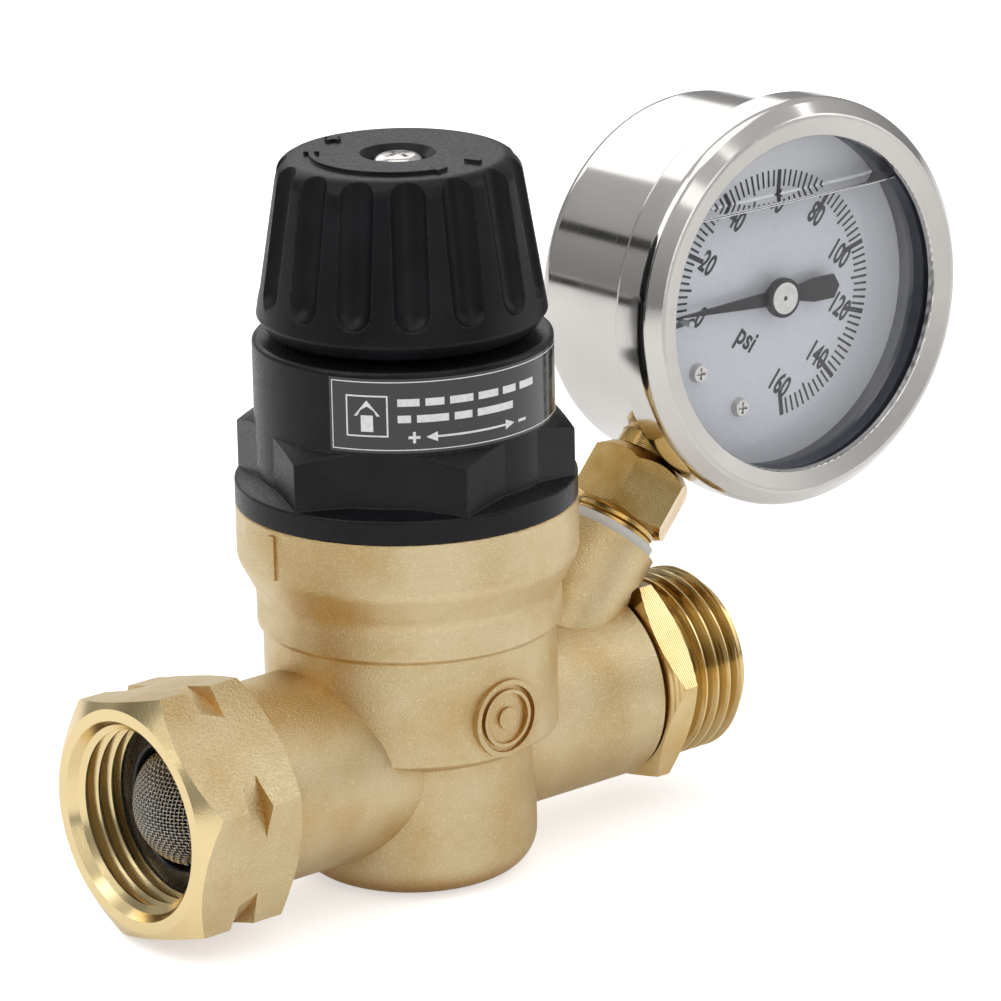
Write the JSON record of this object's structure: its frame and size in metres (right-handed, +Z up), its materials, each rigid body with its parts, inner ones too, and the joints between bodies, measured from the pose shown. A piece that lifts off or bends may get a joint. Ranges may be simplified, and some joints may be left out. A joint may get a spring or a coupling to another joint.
{
  "type": "pressure reducing valve",
  "caption": "Brass inline pressure reducing valve for hose threads, with a pull-up adjusting knob, inlet strainer and liquid-filled dial gauge on a leaning stem.",
  "frame": {"origin": "centre of the body's flat base", "axes": "+Z up the adjusting knob's axis, +X along the flow from inlet to outlet, the gauge faces -Y"},
  "size_m": [0.1429, 0.0476, 0.1032],
  "materials": {
    "cast_brass": "sand-blasted forging with machined faces",
    "turned_brass": "bright turned",
    "black_plastic": "fine moulded texture",
    "label_film": "printed film",
    "rubber": "moulded",
    "steel_mesh": "woven wire",
    "bright_steel": "polished stainless",
    "steel": "plain",
    "nylon": "translucent",
    "lens": "clear",
    "dial_print": "printed white",
    "black_paint": "painted",
    "hub_metal": "turned"
  },
  "bodies": {
    "valve": {"body": "cast_brass", "bonnet": "black_plastic", "label": "label_film", "bonnet_seal": "rubber", "seat_ring": "turned_brass", "strainer_gasket": "rubber", "strainer_screen": "steel_mesh", "outlet_fitting": "turned_brass", "outlet_seal": "rubber", "gauge_washer": "nylon", "gauge_socket": "turned_brass", "gauge_case": "bright_steel", "fill_plug": "rubber", "bezel": "bright_steel", "window": "lens", "window_gasket": "rubber", "dial": "dial_print", "dial_screws": "bright_steel", "stop_pin": "steel", "bourdon_tube": "turned_brass", "tube_tip": "turned_brass", "movement_back_plate": "turned_brass", "movement_front_plate": "turned_brass", "movement_pillars": "turned_brass"},
    "spindle": {"spindle": "steel", "knob_screw": "bright_steel", "thrust_washer": "steel"},
    "knob": {"knob": "black_plastic"},
    "spring_nut": {"spring_nut": "black_plastic", "spring": "steel"},
    "piston": {"piston": "turned_brass", "piston_ring": "rubber", "valve_disc": "rubber", "disc_nut": "turned_brass"},
    "pointer": {"pointer": "black_paint", "pointer_hub": "hub_metal", "pinion": "steel"},
    "sector": {"sector_gear": "steel"},
    "link": {"link": "steel"}
  },
  "joints": [
    {"name": "knob_turn", "type": "hinge", "parent": "valve", "child": "spindle", "pos_m": [0, 0, 0.078], "axis": [0, 0, 1], "range_deg": [-720, 720]},
    {"name": "knob_lift", "type": "slide", "parent": "spindle", "child": "knob", "axis": [0, 0, 1], "range_m": [0, 0.003]},
    {"name": "spring_nut_travel", "type": "slide", "parent": "valve", "child": "spring_nut", "axis": [0, 0, 1], "range_m": [-0.003, 0.003], "deforming": ["spring"]},
    {"name": "piston_travel", "type": "slide", "parent": "valve", "child": "piston", "axis": [0, 0, 1], "range_m": [0, 0.0015]},
    {"name": "pointer_turn", "type": "hinge", "parent": "valve", "child": "pointer", "pos_m": [0.06357, 0, 0.07141], "axis": [0.0343, 0.999, -0.0296], "range_deg": [0, 264]},
    {"name": "sector_swing", "type": "hinge", "parent": "valve", "child": "sector", "pos_m": [0.06132, -0.00027, 0.05963], "axis": [0.0343, 0.999, -0.0296], "range_deg": [-67, 1]},
    {"name": "link_swing", "type": "hinge", "parent": "sector", "child": "link", "pos_m": [0.06068, -0.00035, 0.05629], "axis": [0.0343, 0.999, -0.0296], "range_deg": [-1, 68]}
  ],
  "couplings": [
    {"joint": "knob_turn", "follows": "spring_nut_travel", "rad_per_m": 4188.8},
    {"joint": "sector_swing", "follows": "pointer_turn", "ratio": -0.25},
    {"joint": "link_swing", "follows": "pointer_turn", "ratio": 0.22}
  ]
}
